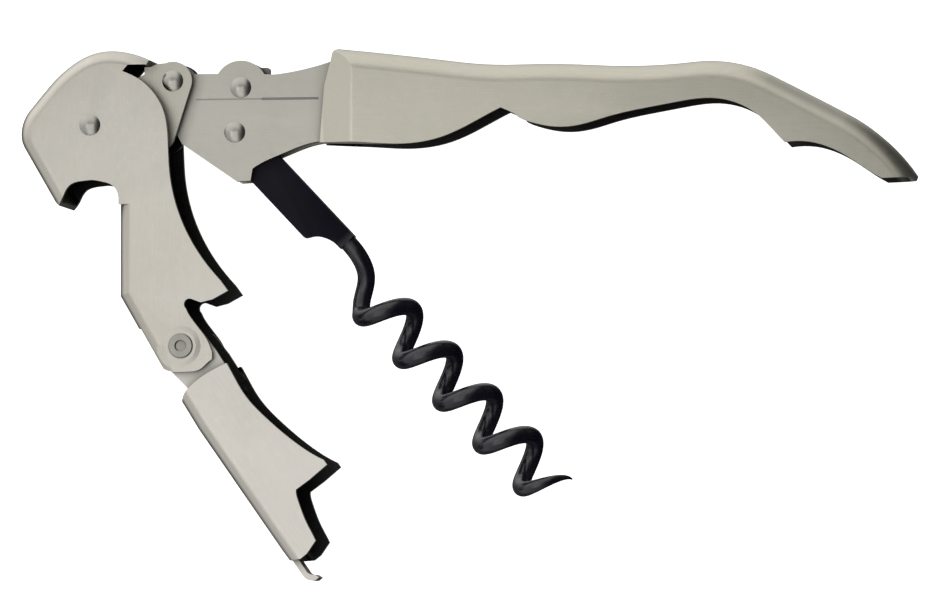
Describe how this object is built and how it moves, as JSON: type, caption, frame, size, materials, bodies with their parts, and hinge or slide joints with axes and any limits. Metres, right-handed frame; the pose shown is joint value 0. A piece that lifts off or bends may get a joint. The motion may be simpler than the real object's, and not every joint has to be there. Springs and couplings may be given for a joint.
{
  "type": "lever corkscrew",
  "caption": "Folding steel lever corkscrew with a coated worm, a jointed stepped lever with a cap lifter, and a foil knife in the handle.",
  "frame": {"origin": "centre of the base of the object, which lies on its side with the worm half open", "axes": "+X along the handle towards its tail, +Y from the worm towards the back of the handle, +Z across the thickness, along every hinge"},
  "size_m": [0.1342, 0.0794, 0.0143],
  "materials": {
    "shell_steel": "satin, fine lengthwise brushing",
    "plate_steel": "satin, blanked plate",
    "rivet_steel": "satin, worn bright",
    "bush_steel": "turned",
    "spring_steel": "hardened strip",
    "blade_steel": "ground blade steel",
    "worm_black": "glossy black non-stick coating on wire"
  },
  "bodies": {
    "handle": {"handle_cover": "shell_steel", "front_cheek": "plate_steel", "rear_cheek": "plate_steel", "back_spring": "spring_steel", "lever_pivot_rivet": "rivet_steel", "pivot_spacer": "bush_steel", "pivot_washers": "bush_steel", "knife_rivet": "rivet_steel", "knife_washers": "bush_steel", "worm_rivet": "rivet_steel"},
    "lever": {"lever_shell": "shell_steel", "front_bracket": "plate_steel", "rear_bracket": "plate_steel", "head_rivet": "rivet_steel", "head_bush": "bush_steel", "head_side_bushes": "bush_steel", "foot_spring": "spring_steel", "foot_rivet": "rivet_steel"},
    "foot": {"foot_shell": "shell_steel", "foot_bush": "bush_steel"},
    "worm": {"worm": "worm_black"},
    "knife": {"foil_knife": "blade_steel"}
  },
  "joints": [
    {"name": "lever_pivot", "type": "hinge", "parent": "handle", "child": "lever", "pos_m": [-0.0442, 0.03516, 0.00715], "axis": [0, 0, 1], "range_deg": [-65, 64]},
    {"name": "foot_pivot", "type": "hinge", "parent": "lever", "child": "foot", "pos_m": [-0.0424, -0.00474, 0.00715], "axis": [0, 0, 1], "range_deg": [-75, 0]},
    {"name": "worm_pivot", "type": "hinge", "parent": "handle", "child": "worm", "pos_m": [-0.035, 0.02746, 0.00715], "axis": [0, 0, 1], "range_deg": [-52, 51.1]},
    {"name": "knife_pivot", "type": "hinge", "parent": "handle", "child": "knife", "pos_m": [-0.0341, 0.03416, 0.00715], "axis": [0, 0, 1], "range_deg": [0, 100]}
  ],
  "couplings": [
    {"joint": "worm_pivot", "follows": "lever_pivot", "ratio": 0.797}
  ]
}
